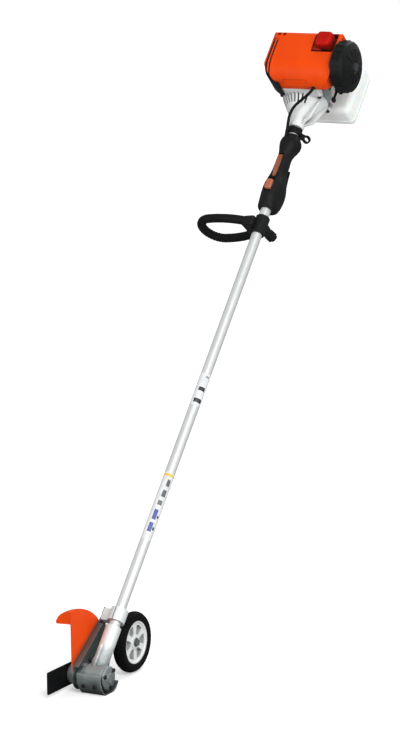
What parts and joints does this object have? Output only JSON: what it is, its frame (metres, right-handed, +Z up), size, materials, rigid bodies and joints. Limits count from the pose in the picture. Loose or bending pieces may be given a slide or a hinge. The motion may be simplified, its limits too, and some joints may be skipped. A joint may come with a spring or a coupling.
{
  "type": "petrol lawn edger",
  "caption": "Petrol lawn edger: vertical blade head with guide wheel and deflector on a long drive tube, with loop handle, control grip and engine.",
  "frame": {"origin": "on the ground under the skid, straight below the centre of the bevel gears", "axes": "+X forward in the direction of travel, +Y to the left side, +Z up"},
  "size_m": [1.3333, 0.3301, 1.4014],
  "materials": {
    "orange_plastic": "semi-gloss",
    "black_plastic": "satin",
    "grey_plastic": "satin",
    "light_plastic": "satin",
    "tank_plastic": "translucent",
    "grip_rubber": "matte",
    "boot_rubber": "semi-matte",
    "tyre_rubber": "matte",
    "cast_alloy": "cast",
    "tube_alloy": "satin anodised",
    "plated_steel": "zinc plated",
    "black_steel": "satin black",
    "dark_screws": "blackened",
    "machined_steel": "machined",
    "muffler_steel": "heat-proof matt",
    "bush_plastic": "matte",
    "filter_paper": "pleated paper"
  },
  "bodies": {
    "root": {"gear_housing": "cast_alloy", "bearing_cover": "cast_alloy", "gearbox_bearings": "machined_steel", "skid_plate": "plated_steel", "guard_plate": "plated_steel", "neck_clamp": "cast_alloy", "deflector": "orange_plastic", "pivot_bolt": "plated_steel", "drive_tube": "tube_alloy", "shaft_bushes": "bush_plastic", "loop_handle": "grip_rubber", "loop_clamp": "black_plastic", "handle_left": "black_plastic", "handle_right": "black_plastic", "throttle_cable": "grip_rubber", "harness_clamp": "black_plastic", "case_screws": "dark_screws", "clutch_housing": "light_plastic", "crankcase": "cast_alloy", "cylinder": "cast_alloy", "spark_plug": "machined_steel", "plug_boot": "boot_rubber", "muffler": "muffler_steel", "muffler_guard": "black_plastic", "engine_shroud": "orange_plastic", "carburettor": "cast_alloy", "filter_base": "black_plastic", "air_filter": "filter_paper", "filter_cover": "black_plastic", "fuel_tank": "tank_plastic", "starter_cover": "light_plastic"},
    "blade_rotor": {"bevel_gear": "machined_steel", "output_spindle": "machined_steel", "blade_collar": "plated_steel", "edger_blade": "black_steel", "clamping_washer": "plated_steel", "blade_nut": "plated_steel"},
    "drive_line": {"drive_shaft": "machined_steel", "bevel_pinion": "machined_steel", "clutch_drum": "machined_steel"},
    "crank_rotor": {"crankshaft": "machined_steel", "flywheel": "cast_alloy", "clutch_shoes": "machined_steel"},
    "piston_slide": {"piston": "cast_alloy"},
    "wheel_carrier": {"wheel_arm": "plated_steel", "axle_bolt": "plated_steel", "axle_nut": "plated_steel"},
    "guide_wheel": {"wheel_rim": "light_plastic", "tyre": "tyre_rubber"},
    "depth_clamp": {"depth_knob": "black_plastic"},
    "loop_clamp_knob": {"loop_knob": "black_plastic"},
    "trigger": {"throttle_trigger": "black_plastic"},
    "lockout": {"trigger_lockout": "orange_plastic"},
    "stop_button": {"stop_switch": "orange_plastic"},
    "choke": {"choke_lever": "black_plastic"},
    "primer": {"primer_bulb": "grip_rubber"},
    "filter_screw": {"cover_screw": "grey_plastic"},
    "tank_cap": {"fuel_cap": "black_plastic"},
    "rewind_pulley": {"starter_pulley": "light_plastic"},
    "pull_grip": {"starter_grip": "grey_plastic"}
  },
  "joints": [
    {"name": "blade_spin", "type": "hinge", "parent": "root", "child": "blade_rotor", "pos_m": [0, 0, 0.036], "axis": [0, 1, 0], "continuous": true},
    {"name": "drive_spin", "type": "hinge", "parent": "root", "child": "drive_line", "pos_m": [0, 0, 0.036], "axis": [-0.6613, 0, 0.7501], "continuous": true},
    {"name": "crank_spin", "type": "hinge", "parent": "root", "child": "crank_rotor", "pos_m": [0, 0, 0.036], "axis": [-0.6613, 0, 0.7501], "continuous": true},
    {"name": "piston_stroke", "type": "slide", "parent": "root", "child": "piston_slide", "axis": [-0.7501, 0, -0.6613], "range_m": [0, 0.026]},
    {"name": "wheel_depth", "type": "hinge", "parent": "root", "child": "wheel_carrier", "pos_m": [-0.052, 0, 0.06], "axis": [0, 1, 0], "range_deg": [-15, 10]},
    {"name": "wheel_spin", "type": "hinge", "parent": "wheel_carrier", "child": "guide_wheel", "pos_m": [-0.177, 0, 0.07], "axis": [0, 1, 0], "continuous": true},
    {"name": "depth_knob_turn", "type": "hinge", "parent": "wheel_carrier", "child": "depth_clamp", "pos_m": [-0.09686, 0, 0.06359], "axis": [0, 1, 0], "range_deg": [-360, 360]},
    {"name": "loop_knob_turn", "type": "hinge", "parent": "root", "child": "loop_clamp_knob", "pos_m": [-0.82501, 0.00877, 0.92841], "axis": [-0.7173, 0.2924, -0.6324], "range_deg": [-360, 360]},
    {"name": "trigger_squeeze", "type": "hinge", "parent": "root", "child": "trigger", "pos_m": [-0.90059, 0, 1.02576], "axis": [0, 1, 0], "range_deg": [0, 12]},
    {"name": "lockout_press", "type": "hinge", "parent": "root", "child": "lockout", "pos_m": [-0.88125, 0, 1.0628], "axis": [0, 1, 0], "range_deg": [-5, 0]},
    {"name": "switch_slide", "type": "slide", "parent": "root", "child": "stop_button", "axis": [-0.6613, 0, 0.7501], "range_m": [0, 0.008]},
    {"name": "choke_turn", "type": "hinge", "parent": "root", "child": "choke", "pos_m": [-1.0311, 0, 1.25998], "axis": [0, 1, 0], "range_deg": [0, 35]},
    {"name": "primer_press", "type": "slide", "parent": "root", "child": "primer", "axis": [0.7501, 0, 0.6613], "range_m": [0, 0.004]},
    {"name": "filter_screw_turn", "type": "hinge", "parent": "root", "child": "filter_screw", "pos_m": [-1.0204, 0, 1.31741], "axis": [0, 1, 0], "range_deg": [-360, 360]},
    {"name": "tank_cap_turn", "type": "hinge", "parent": "root", "child": "tank_cap", "pos_m": [-1.14606, 0, 1.21195], "axis": [0, 1, 0], "range_deg": [-90, 90]},
    {"name": "rewind_spin", "type": "hinge", "parent": "root", "child": "rewind_pulley", "pos_m": [0, 0, 0.036], "axis": [-0.6613, 0, 0.7501], "range_deg": [-900, 900]},
    {"name": "rope_pull", "type": "slide", "parent": "root", "child": "pull_grip", "axis": [0, -1, 0], "range_m": [0, 0.4]}
  ],
  "couplings": [
    {"joint": "drive_spin", "follows": "blade_spin", "ratio": -1.4},
    {"joint": "rewind_spin", "follows": "rope_pull", "rad_per_m": -35.714}
  ]
}
